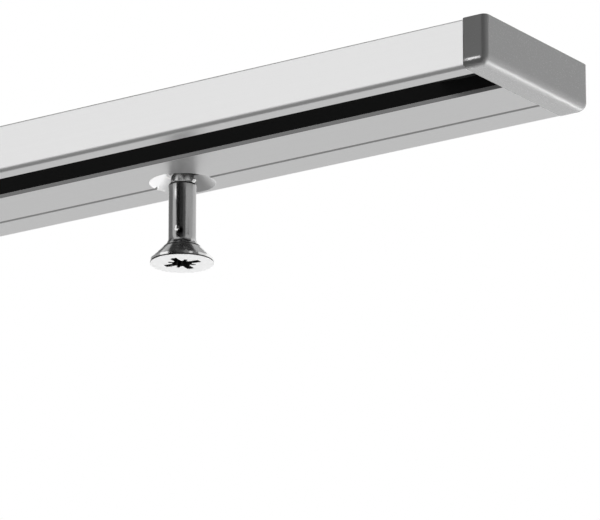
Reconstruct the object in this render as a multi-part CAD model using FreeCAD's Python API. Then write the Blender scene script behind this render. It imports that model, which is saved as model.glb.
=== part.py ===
"""Ceiling curtain track with one inner run: rail, plug-in end caps, wood screws and gliders.

Frame: +X along the rail to the right-hand cap, +Y from the slot towards the screw flange,
+Z up. The origin is on the ceiling face, above the middle of the slot, at mid-length.
All sizes are in millimetres.
"""
import FreeCAD, Part
import os

# Rail section
RAIL_LENGTH = 600.0
RAIL_WIDTH = 22.0
RAIL_HEIGHT = 6.1
SIDE_WALL = 1.0
ROOF = 1.0
SLOT_WIDTH = 6.3
LIP_REACH = 1.4
LIP_TIP = 0.5
LIP_ROOT = 0.9
PARTITION = 1.2
FLANGE_WEB = 2.4
FAR_WALL = 1.2
BOTTOM_EDGE_RADIUS = 0.6
TOP_EDGE_RADIUS = 0.3
INNER_CORNER_RADIUS = 0.3

# Drill line and screw holes
DRILL_LINE_FROM_FAR_FACE = 5.2
DRILL_LINE_WIDTH = 0.6
DRILL_LINE_DEPTH = 0.3
HOLE_FROM_END = 53.0
THREAD_CLEARANCE = 0.2
COUNTERSINK_CLEARANCE = 0.2

# Countersunk cross-recess wood screw
THREAD_DIAMETER = 4.0
SCREW_LENGTH = 20.0
SCREW_HEAD_DIAMETER = 8.0
SCREW_RIM = 0.5
SCREW_SHANK_DIAMETER = 3.5
SCREW_CORE_DIAMETER = 2.9
SCREW_NECK_RADIUS = 1.4
SCREW_PLAIN_LENGTH = 10.3
SCREW_SHOULDER = 0.3
SCREW_SHOULDER_RADIUS = 0.4
SCREW_POINT_LENGTH = 3.4
SCREW_STANDS_OUT = 10.6
RECESS_RADIUS = 2.5
RECESS_ROOT_RADIUS = 1.0
RECESS_MIDDLE_RADIUS = 1.25
RECESS_FLOOR_RADIUS = 0.6
RECESS_DEPTH = 2.1
RECESS_WING_WIDTH = 0.95
RECESS_POINT_RADIUS = 1.8
RECESS_POINT_WIDTH = 0.45
RECESS_POINT_DEPTH = 1.2
RECESS_TURN = 8.0

# Plug-in end cap
CAP_THICKNESS = 3.4
CAP_PROUD_NEAR = 0.3
CAP_PROUD_FAR = 0.65
CAP_OUTER_CORNER_RADIUS = 0.7
CAP_LEAD_IN_RADIUS = 0.5
CAP_BOTTOM_RADIUS = 1.2
PLUG_CLEARANCE = 0.05
PLUG_LENGTH = 10.0
PLUG_TAPER = 0.4
PLUG_TAPER_LENGTH = 3.3
ROOF_PLUG_THICKNESS = 2.2

# Glider
GLIDER_COUNT = 6
GLIDER_PITCH = 55.0
FIRST_GLIDER_FROM_END = 30.0
GLIDER_RUNNING_GAP = 0.1
GLIDER_SIDE_GAP = 0.35
GLIDER_HEAD_LENGTH = 9.0
GLIDER_HEAD_THICKNESS = 2.4
GLIDER_HEAD_CORNER = 2.2
GLIDER_NECK_SIDE_GAP = 0.7
GLIDER_NECK_LENGTH = 4.2
COLLAR_GAP = 0.5
COLLAR_THICKNESS = 1.0
COLLAR_OVER_SLOT = 0.8
EYE_THICKNESS = 2.2
EYE_OUTER_RADIUS = 3.4
EYE_HOLE_RADIUS = 1.8
EYE_DROP = 2.6

# Places that follow from the sizes above
UNDERSIDE = -RAIL_HEIGHT
SLOT_HALF = SLOT_WIDTH / 2
CHANNEL_HALF = SLOT_HALF + LIP_REACH
NEAR_FACE = -CHANNEL_HALF - SIDE_WALL
FAR_FACE = NEAR_FACE + RAIL_WIDTH
TROUGH_NEAR = CHANNEL_HALF + PARTITION
TROUGH_FAR = FAR_FACE - FAR_WALL
TROUGH_FLOOR = UNDERSIDE + FLANGE_WEB
DRILL_LINE = FAR_FACE - DRILL_LINE_FROM_FAR_FACE
HALF_LENGTH = RAIL_LENGTH / 2
HOLE_PLACE = HALF_LENGTH - HOLE_FROM_END
HOLE_RADIUS = THREAD_DIAMETER / 2 + THREAD_CLEARANCE
COUNTERSINK_RADIUS = SCREW_HEAD_DIAMETER / 2 + COUNTERSINK_CLEARANCE
GLIDER_HEAD_HALF_WIDTH = CHANNEL_HALF - GLIDER_SIDE_GAP

X_AXIS = FreeCAD.Vector(1, 0, 0)
Y_AXIS = FreeCAD.Vector(0, 1, 0)
Z_AXIS = FreeCAD.Vector(0, 0, 1)


def box(low, high):
    """A box between its lowest and highest corners."""
    size = [b - a for a, b in zip(low, high)]
    return Part.makeBox(*size, FreeCAD.Vector(*low))


def prism(points, start, push):
    """Push a flat outline along a vector. Each point is a place in the outline's plane."""
    wire = Part.makePolygon([FreeCAD.Vector(*p) for p in points + points[:1]])
    wire.translate(start)
    return Part.Face(wire).extrude(push)


def revolve_about_z(profile):
    """Turn a half-section, given as (radius, height) points, about Z."""
    wire = Part.makePolygon([FreeCAD.Vector(r, 0, z) for r, z in profile + profile[:1]])
    return Part.Face(wire).revolve(FreeCAD.Vector(0, 0, 0), Z_AXIS, 360)


def edges_along(shape, axis, places, reach=1e-3):
    """Straight edges parallel to an axis that pass through one of the given places.

    A place is the pair of the other two coordinates, in X, Y, Z order."""
    found = []
    for edge in shape.Edges:
        if not isinstance(edge.Curve, Part.Line):
            continue
        if abs(abs(edge.tangentAt(edge.FirstParameter).dot(axis)) - 1) > 1e-6:
            continue
        middle = edge.CenterOfMass
        pair = [c for c, a in zip(middle, axis) if abs(a) < 0.5]
        if any(abs(pair[0] - p[0]) < reach and abs(pair[1] - p[1]) < reach for p in places):
            found.append(edge)
    return found


def rail_section():
    """Half-open channel with tapered lips, and a flange with a trough that is open to the ceiling."""
    lip_tip = UNDERSIDE + LIP_TIP
    lip_root = UNDERSIDE + LIP_ROOT
    groove_half = DRILL_LINE_WIDTH / 2
    return [
        (0, NEAR_FACE, 0),
        (0, NEAR_FACE, UNDERSIDE),
        (0, -SLOT_HALF, UNDERSIDE),
        (0, -SLOT_HALF, lip_tip),
        (0, -CHANNEL_HALF, lip_root),
        (0, -CHANNEL_HALF, -ROOF),
        (0, CHANNEL_HALF, -ROOF),
        (0, CHANNEL_HALF, lip_root),
        (0, SLOT_HALF, lip_tip),
        (0, SLOT_HALF, UNDERSIDE),
        (0, DRILL_LINE - groove_half, UNDERSIDE),
        (0, DRILL_LINE, UNDERSIDE + DRILL_LINE_DEPTH),
        (0, DRILL_LINE + groove_half, UNDERSIDE),
        (0, FAR_FACE, UNDERSIDE),
        (0, FAR_FACE, 0),
        (0, TROUGH_FAR, 0),
        (0, TROUGH_FAR, TROUGH_FLOOR),
        (0, TROUGH_NEAR, TROUGH_FLOOR),
        (0, TROUGH_NEAR, 0),
    ]


def screw_hole(x):
    """Through hole with a 90 degree countersink that opens at the underside."""
    overrun = 0.5
    hole = revolve_about_z([
        (0, -overrun),
        (COUNTERSINK_RADIUS + overrun, -overrun),
        (HOLE_RADIUS, COUNTERSINK_RADIUS - HOLE_RADIUS),
        (HOLE_RADIUS, FLANGE_WEB + overrun),
        (0, FLANGE_WEB + overrun),
    ])
    hole.translate(FreeCAD.Vector(x, DRILL_LINE, UNDERSIDE))
    return hole


def make_rail():
    rail = prism(rail_section(), X_AXIS * -HALF_LENGTH, X_AXIS * RAIL_LENGTH)
    bottom = edges_along(rail, X_AXIS, [(NEAR_FACE, UNDERSIDE), (FAR_FACE, UNDERSIDE)])
    rail = rail.makeFillet(BOTTOM_EDGE_RADIUS, bottom)
    top = edges_along(rail, X_AXIS, [(NEAR_FACE, 0), (FAR_FACE, 0)])
    rail = rail.makeFillet(TOP_EDGE_RADIUS, top)
    inner = edges_along(rail, X_AXIS, [(TROUGH_NEAR, TROUGH_FLOOR), (TROUGH_FAR, TROUGH_FLOOR)])
    rail = rail.makeFillet(INNER_CORNER_RADIUS, inner)
    for x in (-HOLE_PLACE, HOLE_PLACE):
        rail = rail.cut(screw_hole(x))
    return rail


def cap_plate():
    """The moulded plate: level with the rail above and below, proud of its two long sides."""
    near = NEAR_FACE - CAP_PROUD_NEAR
    far = FAR_FACE + CAP_PROUD_FAR
    outer = HALF_LENGTH + CAP_THICKNESS
    inner = HALF_LENGTH - CAP_THICKNESS
    blank = box((inner, near, UNDERSIDE), (outer, far, 0))
    corners = edges_along(blank, Z_AXIS, [(outer, near), (outer, far)])
    blank = blank.makeFillet(CAP_OUTER_CORNER_RADIUS, corners)
    rim = [e for e in blank.Edges
           if abs(e.BoundBox.ZMin - UNDERSIDE) < 1e-3 and e.BoundBox.ZLength < 1e-3
           and e.CenterOfMass.x > inner + 1e-3]
    blank = blank.makeFillet(CAP_BOTTOM_RADIUS, rim)
    outline = box((HALF_LENGTH, near, UNDERSIDE), (outer, far, 0))
    lead_in = edges_along(outline, Z_AXIS, [(HALF_LENGTH, near), (HALF_LENGTH, far)])
    return blank.common(outline.makeFillet(CAP_LEAD_IN_RADIUS, lead_in))


def plug(near, far, low, high):
    """A tongue that reaches into the rail and narrows at its free end."""
    tip = HALF_LENGTH - PLUG_LENGTH
    middle = (near + far) / 2
    root_half = (far - near) / 2 - PLUG_CLEARANCE
    tip_half = root_half - PLUG_TAPER
    taper_start = tip + PLUG_TAPER_LENGTH
    outline = [
        (HALF_LENGTH, middle - root_half, 0),
        (taper_start, middle - root_half, 0),
        (tip, middle - tip_half, 0),
        (tip, middle + tip_half, 0),
        (taper_start, middle + root_half, 0),
        (HALF_LENGTH, middle + root_half, 0),
    ]
    return prism(outline, Z_AXIS * low, Z_AXIS * (high - low))


def make_cap():
    """Right-hand cap: plate, a thin tongue under the channel roof and a thick one in the trough."""
    roof_plug_top = -ROOF - PLUG_CLEARANCE
    roof_plug = plug(-CHANNEL_HALF, CHANNEL_HALF, roof_plug_top - ROOF_PLUG_THICKNESS, roof_plug_top)
    flange_floor = TROUGH_FLOOR + INNER_CORNER_RADIUS
    flange_plug = plug(TROUGH_NEAR, TROUGH_FAR, flange_floor, -PLUG_CLEARANCE)
    return cap_plate().fuse([roof_plug, flange_plug]).removeSplitter()


def cross(reach, width, depth, turn):
    """Two crossed bars on the Z axis, turned about it."""
    half = width / 2
    bar = box((-reach, -half, 0), (reach, half, depth))
    centre = FreeCAD.Vector(0, 0, 0)
    return bar.rotated(centre, Z_AXIS, turn).fuse(bar.rotated(centre, Z_AXIS, turn + 90))


def recess():
    """Star recess in the head face: four tapering wings, four short points between them, and a cone."""
    envelope = revolve_about_z([
        (0, 0),
        (RECESS_RADIUS, 0),
        (RECESS_ROOT_RADIUS, RECESS_DEPTH),
        (0, RECESS_DEPTH),
    ])
    wings = cross(RECESS_RADIUS, RECESS_WING_WIDTH, RECESS_DEPTH, RECESS_TURN)
    points = cross(RECESS_POINT_RADIUS, RECESS_POINT_WIDTH, RECESS_POINT_DEPTH, RECESS_TURN + 45)
    middle = Part.makeCone(RECESS_MIDDLE_RADIUS, RECESS_FLOOR_RADIUS, RECESS_DEPTH)
    return envelope.common(wings.fuse(points)).fuse(middle)


def rings_about_z(shape, radius, height, reach=1e-3):
    """Circular edges about Z with the given radius and height."""
    return [edge for edge in shape.Edges
            if isinstance(edge.Curve, Part.Circle)
            and abs(edge.Curve.Radius - radius) < reach
            and abs(edge.CenterOfMass.z - height) < reach]


def make_screw():
    """One screw with its head face at height 0 and its point up, on the Z axis."""
    head = SCREW_HEAD_DIAMETER / 2
    shank = SCREW_SHANK_DIAMETER / 2
    core = SCREW_CORE_DIAMETER / 2
    head_top = SCREW_RIM + head - shank
    body = revolve_about_z([
        (0, 0),
        (head, 0),
        (head, SCREW_RIM),
        (shank, head_top),
        (shank, SCREW_PLAIN_LENGTH),
        (core, SCREW_PLAIN_LENGTH + SCREW_SHOULDER),
        (core, SCREW_LENGTH - SCREW_POINT_LENGTH),
        (0, SCREW_LENGTH),
    ])
    body = body.makeFillet(SCREW_NECK_RADIUS, rings_about_z(body, shank, head_top))
    body = body.makeFillet(SCREW_SHOULDER_RADIUS, rings_about_z(body, shank, SCREW_PLAIN_LENGTH))
    return body.cut(recess())


def screw_at(x):
    return make_screw().translated(FreeCAD.Vector(x, DRILL_LINE, UNDERSIDE - SCREW_STANDS_OUT))


def glider_head_bottom():
    """Height at which the head's long edges meet the sloping tops of the lips, plus the running gap."""
    share = (GLIDER_HEAD_HALF_WIDTH - SLOT_HALF) / LIP_REACH
    return UNDERSIDE + LIP_TIP + (LIP_ROOT - LIP_TIP) * share + GLIDER_RUNNING_GAP


def glider_head():
    """The part that runs on the lips: a plate with rounded corners, as wide as the channel lets it be."""
    half_width = GLIDER_HEAD_HALF_WIDTH
    half_length = GLIDER_HEAD_LENGTH / 2
    low = glider_head_bottom()
    plate = box((-half_length, -half_width, low), (half_length, half_width, low + GLIDER_HEAD_THICKNESS))
    corners = [(sx * half_length, sy * half_width) for sx in (-1, 1) for sy in (-1, 1)]
    return plate.makeFillet(GLIDER_HEAD_CORNER, edges_along(plate, Z_AXIS, corners))


def glider_eye(top):
    """A ring for the curtain hook, seen along Y, that grows out of the collar."""
    centre = top - EYE_DROP
    r = EYE_OUTER_RADIUS
    left = FreeCAD.Vector(-r, 0, centre)
    right = FreeCAD.Vector(r, 0, centre)
    lowest = FreeCAD.Vector(0, 0, centre - r)
    outline = Part.Wire([
        Part.makeLine(FreeCAD.Vector(-r, 0, top), left),
        Part.Arc(left, lowest, right).toShape(),
        Part.makeLine(right, FreeCAD.Vector(r, 0, top)),
        Part.makeLine(FreeCAD.Vector(r, 0, top), FreeCAD.Vector(-r, 0, top)),
    ])
    half = EYE_THICKNESS / 2
    outline.translate(Y_AXIS * -half)
    plate = Part.Face(outline).extrude(Y_AXIS * EYE_THICKNESS)
    hole = Part.makeCylinder(EYE_HOLE_RADIUS, EYE_THICKNESS, FreeCAD.Vector(0, -half, centre), Y_AXIS)
    return plate.cut(hole)


def make_glider():
    """One glider at mid-length: head in the channel, neck through the slot, collar and eye below."""
    collar_top = UNDERSIDE - COLLAR_GAP
    collar_bottom = collar_top - COLLAR_THICKNESS
    neck_half = SLOT_HALF - GLIDER_NECK_SIDE_GAP
    neck_half_length = GLIDER_NECK_LENGTH / 2
    neck_low = (-neck_half_length, -neck_half, collar_bottom)
    neck = box(neck_low, (neck_half_length, neck_half, glider_head_bottom()))
    collar_radius = SLOT_HALF + COLLAR_OVER_SLOT
    collar = Part.makeCylinder(collar_radius, COLLAR_THICKNESS, FreeCAD.Vector(0, 0, collar_bottom), Z_AXIS)
    return glider_head().fuse([neck, collar, glider_eye(collar_bottom)]).removeSplitter()


def glider_places():
    first = -HALF_LENGTH + FIRST_GLIDER_FROM_END
    return [first + i * GLIDER_PITCH for i in range(GLIDER_COUNT)]


def all_parts():
    cap = make_cap()
    parts = {
        "rail": make_rail(),
        "end_cap_right": cap,
        "end_cap_left": cap.mirror(FreeCAD.Vector(0, 0, 0), X_AXIS),
        "screw_right": screw_at(HOLE_PLACE),
        "screw_left": screw_at(-HOLE_PLACE),
    }
    glider = make_glider()
    for number, x in enumerate(glider_places(), start=1):
        parts[f"glider_{number}"] = glider.translated(X_AXIS * x)
    return parts


os.makedirs("parts", exist_ok=True)
for name, shape in all_parts().items():
    shape.exportStep(f"parts/{name}.step")
    print(name, shape.isValid(), len(shape.Solids), "solid", round(shape.Volume, 2), "mm3")
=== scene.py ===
"""Looks of a flat aluminium curtain track: finishes, screw threads and a plain studio."""
import math

import bmesh
import bpy
from bpy.props import FloatProperty, FloatVectorProperty, PointerProperty
from mathutils import Matrix, Vector


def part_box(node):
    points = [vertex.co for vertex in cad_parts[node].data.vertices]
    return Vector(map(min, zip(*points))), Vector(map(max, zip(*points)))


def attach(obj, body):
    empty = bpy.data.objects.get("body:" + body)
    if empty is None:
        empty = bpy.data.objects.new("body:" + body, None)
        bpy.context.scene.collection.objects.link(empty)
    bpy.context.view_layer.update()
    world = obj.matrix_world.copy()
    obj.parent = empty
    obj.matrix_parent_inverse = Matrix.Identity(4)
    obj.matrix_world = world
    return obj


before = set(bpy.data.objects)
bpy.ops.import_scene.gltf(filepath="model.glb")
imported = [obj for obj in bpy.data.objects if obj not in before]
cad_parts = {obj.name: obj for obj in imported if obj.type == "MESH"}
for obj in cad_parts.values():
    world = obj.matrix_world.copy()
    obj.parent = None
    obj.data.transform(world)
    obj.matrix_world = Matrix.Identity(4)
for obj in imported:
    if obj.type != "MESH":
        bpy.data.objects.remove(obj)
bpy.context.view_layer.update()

bl_info = {
    "name": "Curtain Track Looks",
    "version": (1, 0, 0),
    "blender": (4, 5, 0),
    "location": "3D View > Sidebar > Track",
    "description": "Finishes a curtain track, threads its screws and sets up a plain studio",
    "category": "Object",
}

MM = 0.001
ORIGIN = (0.0, 0.0, 0.0)
UPWARDS = (0.0, 0.0, 1.0)
WHITE = (1.0, 1.0, 1.0, 1.0)
FLOOR_GREY = (0.8, 0.8, 0.8, 1.0)
SIDES = ("right", "left")
GLIDERS = sorted(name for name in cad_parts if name.startswith("glider_"))

# Places and sizes that the frame gives
RAIL_LOW, RAIL_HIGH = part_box("rail")
UNDERSIDE = RAIL_LOW.z
CAP_LOW, CAP_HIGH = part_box("end_cap_right")
SCREW_AXIS = {side: sum(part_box(f"screw_{side}"), Vector()) / 2 for side in SIDES}
SCREW_LOW, SCREW_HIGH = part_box("screw_right")
HEAD_FACE = SCREW_LOW.z
SCREW_TIP = SCREW_HIGH.z
HEAD_RADIUS = (SCREW_HIGH.x - SCREW_LOW.x) / 2

# Half of the soft step at a mask's edge. A mask reaches a few steps past the surface that it ends at
RAIL_STEP = 0.02 * MM
SCREW_STEP = 0.05 * MM

# Marks on the near screw's shank: radius and softness. The nick's dent is a bump, its pale spot a painted
# highlight and its dark side painted shade; the streak higher up is a painted highlight
NICK_DENT = (0.26 * MM, 0.22 * MM)
NICK_HIGHLIGHT = (0.34 * MM, 0.08 * MM)
NICK_SHADE = (0.3 * MM, 0.16 * MM)
STREAK_HIGHLIGHT = (0.13 * MM, 0.13 * MM)

# Where the nick's painted shade lies: how far below the nick, and how many degrees round the shank from it
SHADE_DROP = 0.35 * MM
SHADE_TURN = 17

# Height of a mark for its width
SHADE_TALL = 1.5
GLINT_TALL = 5.0

# The thread's steps in a turn, and the part of its last turn that the tip leaves bare
STEPS_PER_TURN = 28
BARE_TURN = 0.45

# Half the width of the thread's crest, and how far its foot is sunk into the core
CREST_HALF = 0.05 * MM
RIDGE_SINK = 0.1 * MM

# How far before its start the thread begins to rise from the core, and over what height it does so
FADE_LEAD = 0.4 * MM
FADE_LENGTH = 1.2 * MM

# Along the screw's point: the least width left at the tip, and how much longer the thread keeps its height
TIP_SHARE = 0.04
POINT_RIDGE = 1.6

# Points of the thread that are nearer than this are joined
MERGE_DISTANCE = 0.002 * MM

# Softboxes: name, place, target, edge, and the setting that holds the power
LOW_PLACE = (0.45, 1.05, -0.78)
NEAR_MIDDLE = (0.1, 0.0, 0.0)
FAR_MIDDLE = (-0.15, 0.0, 0.0)
SOFTBOXES = (
    ("low_softbox", LOW_PLACE, NEAR_MIDDLE, 0.8, "low_lamp"),
    ("glider_softbox", LOW_PLACE, NEAR_MIDDLE, 0.8, "glider_lamp"),
    ("high_softbox", (0.0, 0.1, 1.5), ORIGIN, 1.0, "high_lamp"),
    ("end_softbox", (1.5, 0.3, 0.1), NEAR_MIDDLE, 0.5, "end_lamp"),
    ("fill_softbox", (-0.5, -0.6, -0.3), FAR_MIDDLE, 0.5, "fill_lamp"),
)

# The watts for each square metre at which a lamp mirrors as white
WHITE_POWER = 4

# Lights that the near cap mirrors: name, target, offset from it, width, height and tone
CORNER_ALONG = 1.85 * MM
CORNER_RISE = 0.85 * MM
CAP_MIDDLE = (CAP_LOW + CAP_HIGH) / 2
CAP_CORNER = Vector((RAIL_HIGH.x + CORNER_ALONG, CAP_LOW.y, UNDERSIDE + CORNER_RISE))
CAP_LIGHTS = (
    ("end_strip", CAP_MIDDLE, (0.28, 0.785, -0.54), 0.5, 0.09, 7.5),
    ("corner_strip", CAP_CORNER, (-2.18 * MM, -3.16 * MM, -0.8 * MM), 1.9 * MM, 1.4 * MM, 15.0),
)

# Lights that the near screw's cone mirrors: name, turn from the camera's side, rise, width, height and tone
CONE_LIGHT_DISTANCE = 0.5
CONE_LIGHTS = (
    ("left_cone_light", -132, 54, 0.3, 0.13, 0.6),
    ("right_cone_light", 135, 46, 0.34, 0.3, 0.22),
)

# Level cards: name, place, width, depth and tone
LEVEL_CARDS = (
    ("dark_card_below", (0.0, -0.23, -0.36), 0.95, 1.0, 0.22),
    ("dark_card_above", (-0.1, 0.25, 0.5), 0.9, 0.8, 0.12),
    ("dark_card_near", (0.46, -0.25, 0.49), 0.34, 0.34, 0.12),
)

# Level cards in each screw hole, placed from the hole's middle at the underside. They show only in
# reflections: hole_dark is a dark sheet that stands in for the hole's shade, and hole_shade a paler one for
# the lit countersink around it
HOLE_CARDS = (
    ("hole_shade", (0.0, -0.8 * MM, 1.95 * MM), 18 * MM, 11.6 * MM, 0.4),
    ("hole_dark", (0.0, 0.0, 1.9 * MM), 12 * MM, 10.4 * MM, 0.025),
)

# Upright cards round the near screw: name, first and last angle from the camera's side, and tone
CARD_STEP = 6
UPRIGHT_CARDS = (
    ("left_grey_card", -150, -86, 0.3),
    ("black_card", -52, -20, 0.015),
    ("charcoal_card", -20, 6, 0.05),
    ("dark_grey_card", 6, 28, 0.16),
    ("right_grey_card", 28, 96, 0.75),
)

# The floor's edge, and how much of it glows evenly, with the rest lit by the lamps
FLOOR_EDGE = 30.0
FLOOR_GLOW = 0.7


class TrackSizes(bpy.types.PropertyGroup):
    """Sizes of the details that the finishes follow."""
    slot_half: FloatProperty(
        name="Slot half width", description="From the slot's middle to a lip's edge",
        default=3.15 * MM, unit="LENGTH")
    channel_half: FloatProperty(
        name="Channel half width", description="From the slot's middle to the channel's wall",
        default=4.55 * MM, unit="LENGTH")
    lip_thickness: FloatProperty(
        name="Lip thickness", description="Height of a lip's edge at the slot",
        default=0.5 * MM, unit="LENGTH")
    roof: FloatProperty(
        name="Roof", description="Thickness of the metal above the channel",
        default=1.0 * MM, unit="LENGTH")
    web_thickness: FloatProperty(
        name="Web thickness", description="Thickness of the metal that the screws go through",
        default=2.4 * MM, unit="LENGTH")
    hole_radius: FloatProperty(
        name="Hole radius", description="Radius to which a screw hole's dark inside reaches",
        default=2.5 * MM, unit="LENGTH")
    countersink_radius: FloatProperty(
        name="Countersink radius", description="Mouth of a countersink at the underside",
        default=4.2 * MM, unit="LENGTH")
    countersink_depth: FloatProperty(
        name="Countersink depth", description="Height to which a countersink's bare metal reaches",
        default=2.0 * MM, unit="LENGTH")
    streak_width: FloatProperty(
        name="Streak width", description="Width of the fine lines that run along the rail",
        default=0.25 * MM, unit="LENGTH")
    streak_length: FloatProperty(
        name="Streak length", description="Length over which such a line fades",
        default=140 * MM, unit="LENGTH")
    grain: FloatProperty(
        name="Plastic grain", description="Size of the grain in the moulded plastic",
        default=0.12 * MM, unit="LENGTH")
    rim_line: FloatProperty(
        name="Rim line", description="Height to which the dark line round a screw head's rim reaches",
        default=0.2 * MM, unit="LENGTH")
    recess_radius: FloatProperty(
        name="Recess radius", description="Reach of the star recess in the head",
        default=2.55 * MM, unit="LENGTH")
    recess_depth: FloatProperty(
        name="Recess depth", description="Depth of the star recess in the head",
        default=2.2 * MM, unit="LENGTH")
    shank_radius: FloatProperty(
        name="Shank radius", description="Radius of the screw's plain shank",
        default=1.75 * MM, unit="LENGTH")
    shoulder_height: FloatProperty(
        name="Shoulder height", description="Height at which the plain shank ends, above the head's face",
        default=10.45 * MM, unit="LENGTH")
    # The nick is a dent with a painted highlight, and painted shade beside it
    nick_height: FloatProperty(
        name="Nick height", description="Height of the nick in the near screw's shank above the head's face",
        default=4.2 * MM, unit="LENGTH")
    nick_turn: FloatProperty(
        name="Nick turn", description="Direction of the nick, in degrees from the rail's length",
        default=-77.0)
    # Painted highlight: a pale streak high on the near screw's shank, placed by this height and the turn
    # below
    glint_height: FloatProperty(
        name="Rub height",
        description="Height of the rubbed streak in the near screw's shank above the head's face",
        default=8.9 * MM, unit="LENGTH")
    glint_turn: FloatProperty(
        name="Rub turn", description="Direction of the rubbed streak, in degrees from the rail's length",
        default=-83.0)
    thread_pitch: FloatProperty(
        name="Thread pitch", description="Rise of the thread in one turn",
        default=1.6 * MM, unit="LENGTH")
    thread_radius: FloatProperty(
        name="Thread radius", description="Radius at the thread's crest",
        default=2.0 * MM, unit="LENGTH")
    thread_flank: FloatProperty(
        name="Thread foot", description="Half width of the thread's ridge where it leaves the core",
        default=0.36 * MM, unit="LENGTH")
    thread_start: FloatProperty(
        name="Thread start", description="Height of the thread's first turn above the head's face",
        default=10.8 * MM, unit="LENGTH")
    core_radius: FloatProperty(
        name="Core radius", description="Radius of the screw under its thread",
        default=1.45 * MM, unit="LENGTH")
    point_length: FloatProperty(
        name="Point length", description="Length of the screw's pointed end",
        default=3.4 * MM, unit="LENGTH")


class TrackFinishes(bpy.types.PropertyGroup):
    """Colours and roughness of the track's materials."""
    aluminium: FloatVectorProperty(
        name="Aluminium", description="Colour of the satin aluminium",
        default=(0.92, 0.92, 0.92, 1.0), subtype="COLOR", size=4, min=0, max=1)
    aluminium_roughness: FloatProperty(
        name="Aluminium roughness", description="How far the satin finish spreads a reflection",
        default=0.34, min=0, max=1)
    # Painted shade: this dark colour stands in for the shade in the channel and the screw holes, at the caps'
    # channel ends, in the screws' star recesses and beside the nick; it also makes the dark line round a
    # screw head's rim
    channel: FloatVectorProperty(
        name="Channel", description="Colour inside the slotted channel, where no light reaches",
        default=(0.006, 0.006, 0.006, 1.0), subtype="COLOR", size=4, min=0, max=1)
    # Painted reflection: the lips' edges get this dark colour in place of the dark channel that they would
    # mirror
    lip_edge: FloatVectorProperty(
        name="Lip edge", description="Colour of the lips' edges, which mirror the dark channel",
        default=(0.2, 0.2, 0.2, 1.0), subtype="COLOR", size=4, min=0, max=1)
    cut_metal: FloatVectorProperty(
        name="Cut metal", description="Colour of the bare metal in the countersinks",
        default=(0.9, 0.9, 0.9, 1.0), subtype="COLOR", size=4, min=0, max=1)
    cap: FloatVectorProperty(
        name="End cap", description="Colour of the caps' grey plastic",
        default=(0.3, 0.3, 0.3, 1.0), subtype="COLOR", size=4, min=0, max=1)
    cap_roughness: FloatProperty(
        name="End cap roughness", description="Roughness of the caps' moulded surface",
        default=0.26, min=0, max=1)
    screw: FloatVectorProperty(
        name="Screw", description="Colour of the screw's bright head and thread",
        default=(0.9, 0.9, 0.9, 1.0), subtype="COLOR", size=4, min=0, max=1)
    shank: FloatVectorProperty(
        name="Shank", description="Colour of the screw's duller plain shank",
        default=(0.39, 0.39, 0.39, 1.0), subtype="COLOR", size=4, min=0, max=1)
    screw_roughness: FloatProperty(
        name="Screw roughness", description="Roughness of the plated screw",
        default=0.17, min=0, max=1)
    glider: FloatVectorProperty(
        name="Glider", description="Colour of the gliders' white plastic",
        default=(0.8, 0.8, 0.785, 1.0), subtype="COLOR", size=4, min=0, max=1)
    glider_roughness: FloatProperty(
        name="Glider roughness", description="Roughness of the gliders' smooth moulding",
        default=0.33, min=0, max=1)


class StudioSettings(bpy.types.PropertyGroup):
    """Camera, lamps and floor."""
    camera_place: FloatVectorProperty(
        name="Camera place", description="Where the camera stands",
        default=(0.610444, -0.487354, -0.206595), subtype="TRANSLATION", unit="LENGTH", size=3)
    camera_aim: FloatVectorProperty(
        name="Camera aim", description="Direction in which the camera looks",
        default=(-0.54417, 0.78544, 0.29489), subtype="DIRECTION", size=3)
    lens: FloatProperty(
        name="Lens", description="Focal length in millimetres on a 36 mm sensor",
        default=308.97, min=1)
    floor_drop: FloatProperty(
        name="Floor drop", description="Height of the track above the floor",
        default=1.6, unit="LENGTH")
    floor_tone: FloatProperty(
        name="Floor tone", description="How pale the floor looks to the camera",
        default=0.86, min=0, max=1)
    floor_in_metal: FloatProperty(
        name="Floor in metal", description="How pale the floor looks in the metal's reflections",
        default=0.74, min=0, max=1)
    ambient: FloatProperty(
        name="Ambient", description="Strength of the even light from all round",
        default=0.22, min=0, max=1)
    low_lamp: FloatProperty(
        name="Low lamp", description="Power of the softbox behind and below the track",
        default=37.5, unit="POWER")
    glider_lamp: FloatProperty(
        name="Glider lamp",
        description="Power of the weaker softbox that takes the low lamp's place for the gliders",
        default=18.0, unit="POWER")
    high_lamp: FloatProperty(
        name="High lamp", description="Power of the softbox overhead",
        default=27.0, unit="POWER")
    end_lamp: FloatProperty(
        name="End lamp", description="Power of the small softbox off the near end",
        default=2.2, unit="POWER")
    fill_lamp: FloatProperty(
        name="Fill lamp", description="Power of the softbox that lifts the gliders and the far cap",
        default=2.0, unit="POWER")
    card_distance: FloatProperty(
        name="Card distance", description="How far from the near screw the upright cards stand",
        default=6.0, unit="LENGTH")
    card_low: FloatProperty(
        name="Card foot", description="Height of the upright cards' lower edge above the track",
        default=0.1, unit="LENGTH")
    card_high: FloatProperty(
        name="Card top", description="Height of the upright cards' upper edge above the track",
        default=7.0, unit="LENGTH")


def settings():
    """The three groups of settings of the scene."""
    scene = bpy.context.scene
    return scene.track_sizes, scene.track_finishes, scene.track_studio


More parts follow.
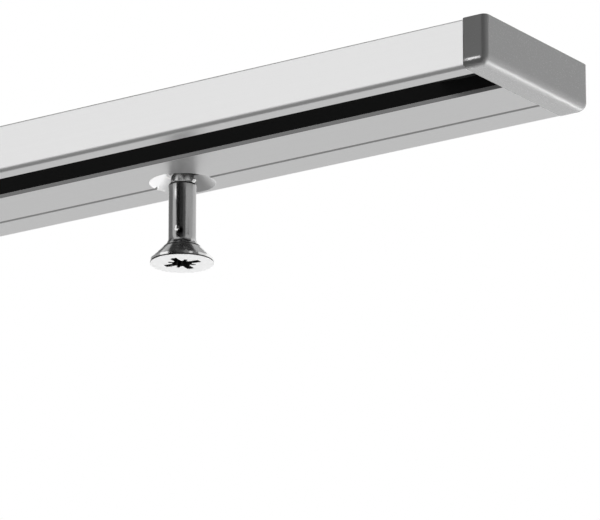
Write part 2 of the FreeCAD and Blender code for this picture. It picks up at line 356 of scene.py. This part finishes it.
class Graph:
    """Adds nodes to one material or world and joins their sockets."""

    def __init__(self, tree):
        self.tree = tree

    def node(self, kind, inputs=None, **values):
        """A new node with its properties set and its inputs set or linked."""
        node = self.tree.nodes.new(kind)
        for key, value in values.items():
            setattr(node, key, value)
        for key, value in (inputs or {}).items():
            self.feed(node.inputs[key], value)
        return node

    def feed(self, socket, value):
        """Link a socket to another one, or set its own value."""
        if isinstance(value, bpy.types.NodeSocket):
            self.tree.links.new(value, socket)
        else:
            socket.default_value = value

    def math(self, operation, first, second=0.0):
        """The result of one sum."""
        return self.node("ShaderNodeMath", {0: first, 1: second}, operation=operation).outputs[0]

    def vector(self, operation, first, second):
        """The result of one sum with vectors."""
        return self.node("ShaderNodeVectorMath", {0: first, 1: second}, operation=operation).outputs[0]

    def both(self, first, second):
        """1 where both masks are 1."""
        return self.math("MULTIPLY", first, second)

    def above(self, value, edge, soft):
        """0 below an edge and 1 above it, with a soft step."""
        node = self.node(
            "ShaderNodeMapRange", {"Value": value, "From Min": edge - soft, "From Max": edge + soft},
            interpolation_type="SMOOTHSTEP")
        return node.outputs["Result"]

    def below(self, value, edge, soft):
        """1 below an edge and 0 above it, with a soft step."""
        return self.math("SUBTRACT", 1.0, self.above(value, edge, soft))

    def spread(self, value, low, high):
        """A value from 0 to 1 spread between two numbers."""
        node = self.node("ShaderNodeMapRange", {"Value": value, "To Min": low, "To Max": high})
        return node.outputs["Result"]

    def weighted(self, first, first_share, second, second_share):
        """The sum of two values, each times its share."""
        return self.math(
            "ADD", self.math("MULTIPLY", first, first_share), self.math("MULTIPLY", second, second_share))

    def mix(self, mask, first, second):
        """One colour where the mask is 0 and another where it is 1."""
        node = self.node("ShaderNodeMix", data_type="RGBA")
        self.feed(node.inputs[0], mask)
        self.feed(node.inputs[6], first)
        self.feed(node.inputs[7], second)
        return node.outputs[2]

    def tint(self, colour, factor):
        """A colour made paler or darker by a factor near 1."""
        node = self.node("ShaderNodeVectorMath", operation="SCALE")
        self.feed(node.inputs[0], colour)
        self.feed(node.inputs["Scale"], factor)
        return node.outputs[0]

    def place(self):
        """The place on the object, as a vector."""
        return self.node("ShaderNodeTexCoord").outputs["Object"]

    def axes(self, vector):
        """The three parts of a vector."""
        return self.node("ShaderNodeSeparateXYZ", {0: vector}).outputs[:]

    def noise(self, vector, size, detail=2.0, roughness=0.5):
        """Noise from 0 to 1 whose grains have the given sizes along X, Y and Z."""
        mapping = self.node("ShaderNodeMapping", {"Vector": vector, "Scale": [1 / s for s in size]})
        noise = self.node("ShaderNodeTexNoise", {
            "Vector": mapping.outputs[0], "Scale": 1.0, "Detail": detail, "Roughness": roughness})
        return noise.outputs["Fac"]

    def bump(self, height, depth, normal=None):
        """A normal that a height map bends, with the depth in metres."""
        inputs = {"Height": height, "Distance": depth, "Strength": 1.0}
        if normal is not None:
            inputs["Normal"] = normal
        return self.node("ShaderNodeBump", inputs).outputs[0]


def new_finish(name):
    """A new material, its graph and its main shader."""
    material = bpy.data.materials.new(name)
    material.use_nodes = True
    return material, Graph(material.node_tree), material.node_tree.nodes["Principled BSDF"]


def blank_finish(name):
    """A new material with an empty graph."""
    material = bpy.data.materials.new(name)
    material.use_nodes = True
    material.node_tree.nodes.clear()
    return material, Graph(material.node_tree)


def put_on(name, material):
    """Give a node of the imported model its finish."""
    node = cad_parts[name]
    node.data.materials.clear()
    node.data.materials.append(material)
    return node


def from_screw_axis(graph, x, y):
    """Distance from the nearer screw's axis, in the plane of the underside."""
    along = graph.math("SUBTRACT", graph.math("ABSOLUTE", x), SCREW_AXIS["right"].x)
    across = graph.math("SUBTRACT", y, SCREW_AXIS["right"].y)
    squares = [graph.math("MULTIPLY", part, part) for part in (along, across)]
    return graph.math("SQRT", graph.math("ADD", *squares))


def channel_mask(graph, y, z, sizes):
    """1 inside the channel above the lips, where painted shade makes the slot look black."""
    inside = graph.below(graph.math("ABSOLUTE", y), sizes.channel_half + 2 * RAIL_STEP, RAIL_STEP)
    over_lips = graph.above(z, UNDERSIDE + sizes.lip_thickness + 2 * RAIL_STEP, RAIL_STEP)
    under_roof = graph.below(z, -sizes.roof + 2 * RAIL_STEP, RAIL_STEP)
    return graph.both(inside, graph.both(over_lips, under_roof))


def lip_mask(graph, y, z, sizes):
    """1 on the lips' narrow edges at the slot, which get a painted reflection of the dark channel."""
    inside = graph.below(graph.math("ABSOLUTE", y), sizes.slot_half + RAIL_STEP, RAIL_STEP)
    under = graph.below(z, UNDERSIDE + sizes.lip_thickness, RAIL_STEP)
    return graph.both(inside, under)


def countersink_mask(graph, radius, z, sizes):
    """1 on the bare metal of the countersinks."""
    inside = graph.below(radius, sizes.countersink_radius + 1.5 * RAIL_STEP, RAIL_STEP)
    under = graph.below(z, UNDERSIDE + sizes.countersink_depth, RAIL_STEP)
    return graph.both(inside, under)


def hole_mask(graph, radius, z, sizes):
    """1 inside the screw holes, where painted shade makes them dark."""
    inside = graph.below(radius, sizes.hole_radius, 6 * RAIL_STEP)
    under = graph.below(z, UNDERSIDE + sizes.web_thickness - 2.5 * RAIL_STEP, RAIL_STEP)
    return graph.both(inside, under)


def aluminium_finish(sizes, finishes):
    """Satin anodised aluminium with fine lines along it, bare in the countersinks, with painted shade that
    makes the channel and the screw holes black.
    """
    fine_share = 0.6
    tint_spread = 0.035
    roughness_spread = 0.03
    bare_diffuse = 0.34
    bare_dullness = 0.05
    dark_dullness = 0.5
    line_depth = 0.0012 * MM

    material, graph, shader = new_finish("satin_aluminium")
    place = graph.place()
    x, y, z = graph.axes(place)
    width, length = sizes.streak_width, sizes.streak_length
    fine = graph.noise(place, (length, width, width), detail=3.0, roughness=0.6)
    broad = graph.noise(place, (length * 2, width * 6, width * 6), detail=1.0)
    lines = graph.weighted(fine, fine_share, broad, 1 - fine_share)

    radius = from_screw_axis(graph, x, y)
    cut = countersink_mask(graph, radius, z, sizes)
    dark = graph.math("MAXIMUM", channel_mask(graph, y, z, sizes), hole_mask(graph, radius, z, sizes))
    metal = graph.tint(tuple(finishes.aluminium)[:3], graph.spread(lines, 1 - tint_spread, 1 + tint_spread))
    metal = graph.mix(cut, metal, tuple(finishes.cut_metal))
    # Painted reflection of the dark channel on the lips' edges
    metal = graph.mix(lip_mask(graph, y, z, sizes), metal, tuple(finishes.lip_edge))
    # Painted shade in the channel and the screw holes
    metal = graph.mix(dark, metal, tuple(finishes.channel))
    graph.feed(shader.inputs["Base Color"], metal)

    not_metallic = graph.math("MAXIMUM", dark, graph.math("MULTIPLY", cut, bare_diffuse))
    graph.feed(shader.inputs["Metallic"], graph.math("SUBTRACT", 1.0, not_metallic))
    satin = finishes.aluminium_roughness
    rough = graph.spread(lines, satin - roughness_spread, satin + roughness_spread)
    dull = graph.weighted(dark, dark_dullness, cut, bare_dullness)
    graph.feed(shader.inputs["Roughness"], graph.math("ADD", rough, dull))
    graph.feed(shader.inputs["Normal"], graph.bump(fine, line_depth))
    shader.inputs["Specular IOR Level"].default_value = 0.3
    return material


def plastic_finish(name, colour, roughness, sizes, mottle, shaded=None):
    """Moulded plastic with a fine grain and a faint mottle, with painted shade in the channel where a colour
    is given.
    """
    cloud_size = 25
    roughness_spread = 0.05
    grain_depth = 0.004 * MM

    material, graph, shader = new_finish(name)
    place = graph.place()
    x, y, z = graph.axes(place)
    grain = graph.noise(place, (sizes.grain,) * 3)
    cloud = graph.noise(place, (sizes.grain * cloud_size,) * 3)
    plastic = graph.tint(tuple(colour)[:3], graph.spread(cloud, 1 - mottle, 1 + mottle))
    rough = graph.spread(grain, roughness - roughness_spread, roughness + roughness_spread)
    # Painted shade where the cap's end sits in the dark channel
    if shaded is not None:
        in_rail = graph.below(graph.math("ABSOLUTE", x), RAIL_HIGH.x - RAIL_STEP, RAIL_STEP)
        in_channel = graph.both(in_rail, channel_mask(graph, y, z, sizes))
        plastic = graph.mix(in_channel, plastic, tuple(shaded))
        rough = graph.math("MAXIMUM", rough, in_channel)
    graph.feed(shader.inputs["Base Color"], plastic)
    graph.feed(shader.inputs["Roughness"], rough)
    graph.feed(shader.inputs["Normal"], graph.bump(grain, grain_depth))
    return material


def shank_mask(graph, radius, z, sizes):
    """1 on the plain shank, from the head's cone to the shoulder."""
    inside = graph.below(radius, sizes.shank_radius + 10 * SCREW_STEP, 8 * SCREW_STEP)
    over_cone = graph.above(z, HEAD_FACE + sizes.recess_depth + 2 * SCREW_STEP, 4 * SCREW_STEP)
    under_shoulder = graph.below(z, HEAD_FACE + sizes.shoulder_height, SCREW_STEP)
    return graph.both(inside, graph.both(over_cone, under_shoulder))


def above_face(graph, z, top, soft):
    """1 between the head's face and a height above it."""
    over_face = graph.above(z, HEAD_FACE + SCREW_STEP, SCREW_STEP / 2)
    return graph.both(over_face, graph.below(z, HEAD_FACE + top, soft))


def from_mark(graph, place, sizes, height, turn, tall=1.0):
    """Distance from a mark on the near screw's shank, which is some times as tall as it is wide.

    Its height is counted from the head's face, and its turn in degrees from the rail's length.
    """
    axis = SCREW_AXIS["right"]
    turn = math.radians(turn)
    middle = Vector((
        axis.x + math.cos(turn) * sizes.shank_radius,
        axis.y + math.sin(turn) * sizes.shank_radius,
        HEAD_FACE + height))
    offset = graph.vector("SUBTRACT", place, middle)
    scaled = graph.vector("MULTIPLY", offset, (1.0, 1.0, 1 / tall))
    return graph.node("ShaderNodeVectorMath", {0: scaled}, operation="LENGTH").outputs["Value"]


def screw_finish(sizes, finishes):
    """Bright plating with a duller shank and a dented nick; painted shade in the star recess and beside the
    nick, a dark line round the rim, and painted highlights on the nick and on a streak higher up.
    """
    wear_size = (0.5 * MM, 0.5 * MM, 2.5 * MM)
    wear_depth = 0.01 * MM
    dent_depth = 0.06 * MM
    face_diffuse = 0.55
    face_dullness = 0.12
    recess_diffuse = 0.9
    recess_dullness = 0.4
    darkest, palest = 0.9, 1.08
    smoothest = finishes.screw_roughness - 0.03
    roughest = finishes.screw_roughness + 0.04

    material, graph, shader = new_finish("plated_steel")
    place = graph.place()
    x, y, z = graph.axes(place)
    radius = from_screw_axis(graph, x, y)
    face = graph.below(z, HEAD_FACE + SCREW_STEP, SCREW_STEP / 2)
    recess = graph.both(
        graph.below(radius, sizes.recess_radius, SCREW_STEP),
        above_face(graph, z, sizes.recess_depth, SCREW_STEP))
    rim = graph.both(
        graph.above(radius, HEAD_RADIUS - 10 * SCREW_STEP, SCREW_STEP),
        above_face(graph, z, sizes.rim_line, SCREW_STEP / 2))

    nick = from_mark(graph, place, sizes, sizes.nick_height, sizes.nick_turn)
    shade = from_mark(
        graph, place, sizes, sizes.nick_height - SHADE_DROP, sizes.nick_turn + SHADE_TURN, SHADE_TALL)
    glint_streak = from_mark(graph, place, sizes, sizes.glint_height, sizes.glint_turn, GLINT_TALL)
    dent = graph.below(nick, *NICK_DENT)
    shade_and_rim_line = graph.math("MAXIMUM", rim, graph.below(shade, *NICK_SHADE))
    painted_highlights = graph.math("MAXIMUM", graph.below(nick, *NICK_HIGHLIGHT), graph.below(glint_streak, *STREAK_HIGHLIGHT))

    wear = graph.noise(place, wear_size, detail=3.0)
    metal = graph.mix(shank_mask(graph, radius, z, sizes), tuple(finishes.screw), tuple(finishes.shank))
    # Painted shade beside the nick, and the dark line round the head's rim
    metal = graph.mix(shade_and_rim_line, metal, tuple(finishes.channel))
    # Painted highlights on the nick and on the streak higher up the shank
    metal = graph.mix(painted_highlights, metal, tuple(finishes.screw))
    # Painted shade in the star recess
    metal = graph.mix(recess, metal, tuple(finishes.channel))
    graph.feed(shader.inputs["Base Color"], graph.tint(metal, graph.spread(wear, darkest, palest)))
    not_metallic = graph.weighted(recess, recess_diffuse, face, face_diffuse)
    graph.feed(shader.inputs["Metallic"], graph.math("SUBTRACT", 1.0, not_metallic))
    dull = graph.weighted(face, face_dullness, recess, recess_dullness)
    rough = graph.spread(wear, smoothest, roughest)
    graph.feed(shader.inputs["Roughness"], graph.math("ADD", dull, rough))
    graph.feed(shader.inputs["Normal"], graph.bump(wear, wear_depth, graph.bump(dent, dent_depth)))
    return material


def new_piece(name, bm, material):
    """Put a finished mesh into the scene as an object with one material."""
    mesh = bpy.data.meshes.new(name)
    bm.to_mesh(mesh)
    bm.free()
    mesh.materials.append(material)
    piece = bpy.data.objects.new(name, mesh)
    bpy.context.scene.collection.objects.link(piece)
    return piece


def follow_core(vert, start, sizes):
    """Draw a point of the thread in towards the axis, at the thread's start and along the screw's point."""
    radius = math.hypot(vert.co.x, vert.co.y)
    height = max(0.0, radius - sizes.core_radius)
    fade_in = max(0.0, min(1.0, (vert.co.z - start + FADE_LEAD) / FADE_LENGTH))
    left = max(TIP_SHARE, min(1.0, (SCREW_TIP - vert.co.z) / sizes.point_length))
    core = min(radius, sizes.core_radius) * left
    wanted = core + height * fade_in * min(1.0, left * POINT_RIDGE)
    vert.co.x *= wanted / radius
    vert.co.y *= wanted / radius


def thread_ridge(name, axis, sizes, material):
    """A helical ridge on a screw's core, which fades in at its start and follows the point to the tip."""
    start = HEAD_FACE + sizes.thread_start
    turns = (SCREW_TIP - start) / sizes.thread_pitch - BARE_TURN
    inner = sizes.core_radius - RIDGE_SINK
    crest, flank = sizes.thread_radius, sizes.thread_flank
    outline = [(inner, -flank), (crest, -CREST_HALF), (crest, CREST_HALF), (inner, flank)]
    bm = bmesh.new()
    face = bm.faces.new([bm.verts.new((radius, 0.0, start + height)) for radius, height in outline])
    bmesh.ops.spin(
        bm, geom=[face, *face.edges, *face.verts], cent=ORIGIN, axis=UPWARDS,
        dvec=(0.0, 0.0, sizes.thread_pitch / STEPS_PER_TURN), angle=math.tau * turns,
        steps=round(STEPS_PER_TURN * turns), use_duplicate=False)
    for vert in bm.verts:
        follow_core(vert, start, sizes)
    bmesh.ops.remove_doubles(bm, verts=bm.verts, dist=MERGE_DISTANCE)
    bmesh.ops.recalc_face_normals(bm, faces=bm.faces)
    bmesh.ops.translate(bm, verts=bm.verts, vec=(axis.x, axis.y, 0.0))
    return new_piece(name, bm, material)


def aimed(place, target):
    """A place and turn for a lamp at a place that faces a target."""
    turn = (Vector(target) - Vector(place)).to_track_quat("-Z", "Y")
    return Matrix.Translation(place) @ turn.to_matrix().to_4x4()


def area_lamp(name, place, target, width, height, power):
    """A flat lamp that the camera doesn't see."""
    lamp = bpy.data.lights.new(name, "AREA")
    lamp.shape = "RECTANGLE"
    lamp.size = width
    lamp.size_y = height
    lamp.energy = power
    holder = bpy.data.objects.new(name, lamp)
    bpy.context.scene.collection.objects.link(holder)
    holder.matrix_world = aimed(place, target)
    holder.visible_camera = False
    return holder


def receivers(lamp, nodes):
    """Link a lamp's light to some nodes, in a collection that is handed back."""
    reached = bpy.data.collections.new(lamp.name)
    for node in nodes:
        reached.objects.link(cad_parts[node])
    lamp.light_linking.receiver_collection = reached
    return reached


def light_only(lamp, nodes):
    """Let a lamp reach only some nodes, with nothing but them in its way."""
    lamp.light_linking.blocker_collection = receivers(lamp, nodes)


def pass_over(lamp, nodes):
    """Let a lamp reach everything but some nodes."""
    for entry in receivers(lamp, nodes).collection_objects:
        entry.light_linking.link_state = "EXCLUDE"


def highlight(name, place, target, width, height, tone, nodes):
    """A lamp of one tone that some nodes mirror and that lights nothing else."""
    lamp = area_lamp(name, place, target, width, height, WHITE_POWER * width * height * tone)
    lamp.visible_diffuse = False
    light_only(lamp, nodes)


def stage_piece(name, bm, material):
    """A piece of the studio, which isn't part of the track."""
    piece = new_piece(name, bm, material)
    return piece


def level_plane(width, depth, place):
    """The mesh of a level rectangle."""
    bm = bmesh.new()
    bmesh.ops.create_grid(bm, x_segments=1, y_segments=1, size=0.5)
    bmesh.ops.scale(bm, vec=(width, depth, 1.0), verts=bm.verts)
    bmesh.ops.translate(bm, vec=place, verts=bm.verts)
    return bm


def card(name, bm, tone):
    """A card of one tone, as a photographer's flag or reflector, that shows only in reflections."""
    material, graph = blank_finish(name)
    glow = graph.node("ShaderNodeEmission", {"Color": WHITE, "Strength": tone})
    output = graph.node("ShaderNodeOutputMaterial")
    graph.feed(output.inputs["Surface"], glow.outputs[0])
    piece = stage_piece(name, bm, material)
    piece.visible_camera = False
    piece.visible_diffuse = False
    piece.visible_transmission = False
    piece.visible_volume_scatter = False
    piece.visible_shadow = False


def camera_side(studio):
    """Direction from the near screw to the camera, as an angle from the rail's length."""
    towards_camera = Vector(studio.camera_place) - SCREW_AXIS["right"]
    return math.atan2(towards_camera.y, towards_camera.x)


def upright_plane(first, last, studio):
    """The mesh of a curved upright card round the near screw, between two angles from the camera's side."""
    screw = SCREW_AXIS["right"]
    spread = math.radians(last - first)
    start = Matrix.Rotation(camera_side(studio) + math.radians(first), 3, "Z")
    bm = bmesh.new()
    foot = bm.verts.new((studio.card_distance, 0.0, studio.card_low))
    top = bm.verts.new((studio.card_distance, 0.0, studio.card_high))
    edge = bm.edges.new([foot, top])
    bmesh.ops.rotate(bm, cent=ORIGIN, matrix=start, verts=bm.verts)
    bmesh.ops.spin(
        bm, geom=[edge, *edge.verts], cent=ORIGIN, axis=UPWARDS, dvec=ORIGIN, angle=spread,
        steps=max(2, round(spread / math.radians(CARD_STEP))), use_duplicate=False)
    bmesh.ops.translate(bm, vec=(screw.x, screw.y, 0.0), verts=bm.verts)
    return bm


def floor_finish(studio):
    """A plain pale floor: it shows the object's shadow, and is seen through from below."""
    material, graph = blank_finish("pale_floor")
    rays = graph.node("ShaderNodeLightPath").outputs
    tone = graph.weighted(
        rays["Is Camera Ray"], studio.floor_tone, rays["Is Glossy Ray"], studio.floor_in_metal)
    glow = graph.node("ShaderNodeEmission", {"Color": WHITE, "Strength": tone})
    matt = graph.node("ShaderNodeBsdfDiffuse", {"Color": FLOOR_GREY})
    surface = graph.node("ShaderNodeMixShader", {0: FLOOR_GLOW, 1: matt.outputs[0], 2: glow.outputs[0]})
    clear = graph.node("ShaderNodeBsdfTransparent")
    behind = graph.node("ShaderNodeNewGeometry").outputs["Backfacing"]
    seen = graph.node("ShaderNodeMixShader", {0: behind, 1: surface.outputs[0], 2: clear.outputs[0]})
    output = graph.node("ShaderNodeOutputMaterial")
    graph.feed(output.inputs["Surface"], seen.outputs[0])
    return material


def set_camera(scene, studio):
    """The camera, which the scene then looks through."""
    camera = bpy.data.cameras.new("camera")
    camera.sensor_width = 36.0
    camera.lens = studio.lens
    camera.clip_start = 0.01
    holder = bpy.data.objects.new("camera", camera)
    scene.collection.objects.link(holder)
    holder.location = studio.camera_place
    holder.rotation_mode = "QUATERNION"
    holder.rotation_quaternion = Vector(studio.camera_aim).to_track_quat("-Z", "Y")
    scene.camera = holder


def set_softboxes(studio):
    """The soft lamps. The gliders get a weaker low lamp, and some fill with the far cap."""
    lamps = {}
    for name, place, target, edge, power in SOFTBOXES:
        lamps[name] = area_lamp(name, place, target, edge, edge, getattr(studio, power))
        lamps[name].visible_glossy = False
    pass_over(lamps["low_softbox"], GLIDERS)
    light_only(lamps["glider_softbox"], GLIDERS)
    light_only(lamps["fill_softbox"], ["end_cap_left"] + GLIDERS)


def set_highlights(studio):
    """The thin lights on the near cap's edges and the lights on the near screw's cone."""
    for name, target, offset, width, height, tone in CAP_LIGHTS:
        highlight(name, target + Vector(offset), target, width, height, tone, ["end_cap_right"])
    screw = SCREW_AXIS["right"]
    for name, turn, rise, width, height, tone in CONE_LIGHTS:
        azimuth = camera_side(studio) + math.radians(turn)
        level = math.cos(math.radians(rise))
        way = Vector((level * math.cos(azimuth), level * math.sin(azimuth), math.sin(math.radians(rise))))
        highlight(name, screw + CONE_LIGHT_DISTANCE * way, screw, width, height, tone, ["screw_right"])


def set_floor(studio):
    """The floor, which casts no light or shadow on the track."""
    floor = stage_piece(
        "floor", level_plane(FLOOR_EDGE, FLOOR_EDGE, (0.0, 0.0, -studio.floor_drop)), floor_finish(studio))
    floor.visible_diffuse = False
    floor.visible_shadow = False


def set_cards(studio):
    """The cards that the metal mirrors."""
    for name, place, width, depth, tone in LEVEL_CARDS:
        card(name, level_plane(width, depth, place), tone)
    for side in SIDES:
        mouth = Vector((SCREW_AXIS[side].x, SCREW_AXIS[side].y, UNDERSIDE))
        for name, offset, width, depth, tone in HOLE_CARDS:
            card(f"{name}_{side}", level_plane(width, depth, mouth + Vector(offset)), tone)
    for name, first, last, tone in UPRIGHT_CARDS:
        card(name, upright_plane(first, last, studio), tone)


def set_world(studio):
    """White to the camera and in reflections, and a weak even light otherwise."""
    world = bpy.data.worlds.new("studio_world")
    world.use_nodes = True
    bpy.context.scene.world = world
    graph = Graph(world.node_tree)
    background = world.node_tree.nodes["Background"]
    rays = graph.node("ShaderNodeLightPath").outputs
    seen = graph.math("MAXIMUM", rays["Is Camera Ray"], rays["Is Glossy Ray"])
    seen = graph.math("MAXIMUM", seen, rays["Is Transmission Ray"])
    graph.feed(background.inputs["Color"], WHITE)
    graph.feed(background.inputs["Strength"], graph.spread(seen, studio.ambient, 1.0))


class TRACK_OT_rail(bpy.types.Operator):
    """Give the rail its satin aluminium"""
    bl_idname = "track.rail"
    bl_label = "Rail"

    def execute(self, context):
        sizes, finishes, _ = settings()
        rail = put_on("rail", aluminium_finish(sizes, finishes))
        rail.visible_glossy = False
        return {"FINISHED"}


class TRACK_OT_end_caps(bpy.types.Operator):
    """Give both end caps their grey plastic"""
    bl_idname = "track.end_caps"
    bl_label = "End caps"

    def execute(self, context):
        sizes, finishes, _ = settings()
        material = plastic_finish(
            "grey_plastic", finishes.cap, finishes.cap_roughness, sizes, mottle=0.02, shaded=finishes.channel)
        for side in SIDES:
            put_on(f"end_cap_{side}", material)
        return {"FINISHED"}


class TRACK_OT_screws(bpy.types.Operator):
    """Give both screws their plating and their thread"""
    bl_idname = "track.screws"
    bl_label = "Screws"

    def execute(self, context):
        sizes, finishes, _ = settings()
        material = screw_finish(sizes, finishes)
        for side in SIDES:
            put_on(f"screw_{side}", material)
            ridge = thread_ridge(f"screw_{side}_thread", SCREW_AXIS[side], sizes, material)
            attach(ridge, f"screw_{side}")
        return {"FINISHED"}


class TRACK_OT_gliders(bpy.types.Operator):
    """Give the gliders their white plastic"""
    bl_idname = "track.gliders"
    bl_label = "Gliders"

    def execute(self, context):
        sizes, finishes, _ = settings()
        material = plastic_finish(
            "white_plastic", finishes.glider, finishes.glider_roughness, sizes, mottle=0.01)
        for name in GLIDERS:
            put_on(name, material)
        return {"FINISHED"}


class TRACK_OT_studio(bpy.types.Operator):
    """Set up the camera, the lamps, the floor, the cards and the white background"""
    bl_idname = "track.studio"
    bl_label = "Studio"

    def execute(self, context):
        _, _, studio = settings()
        context.scene.view_settings.view_transform = "Standard"
        set_camera(context.scene, studio)
        set_softboxes(studio)
        set_highlights(studio)
        set_floor(studio)
        set_cards(studio)
        set_world(studio)
        return {"FINISHED"}


class TRACK_PT_panel(bpy.types.Panel):
    """Buttons for each piece and for the studio"""
    bl_idname = "TRACK_PT_panel"
    bl_label = "Curtain track"
    bl_space_type = "VIEW_3D"
    bl_region_type = "UI"
    bl_category = "Track"

    def draw(self, context):
        for operator in OPERATORS:
            self.layout.operator(operator.bl_idname)


OPERATORS = (
    TRACK_OT_rail,
    TRACK_OT_end_caps,
    TRACK_OT_screws,
    TRACK_OT_gliders,
    TRACK_OT_studio,
)
GROUPS = {
    "track_sizes": TrackSizes,
    "track_finishes": TrackFinishes,
    "track_studio": StudioSettings,
}


def register():
    for group in GROUPS.values():
        bpy.utils.register_class(group)
    for name, group in GROUPS.items():
        setattr(bpy.types.Scene, name, PointerProperty(type=group))
    for operator in OPERATORS:
        bpy.utils.register_class(operator)
    bpy.utils.register_class(TRACK_PT_panel)


def unregister():
    bpy.utils.unregister_class(TRACK_PT_panel)
    for operator in reversed(OPERATORS):
        bpy.utils.unregister_class(operator)
    for name, group in reversed(GROUPS.items()):
        delattr(bpy.types.Scene, name)
        bpy.utils.unregister_class(group)


def main():
    """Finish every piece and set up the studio."""
    register()
    bpy.ops.track.rail()
    bpy.ops.track.end_caps()
    bpy.ops.track.screws()
    bpy.ops.track.gliders()
    bpy.ops.track.studio()


if __name__ == "__main__":
    main()
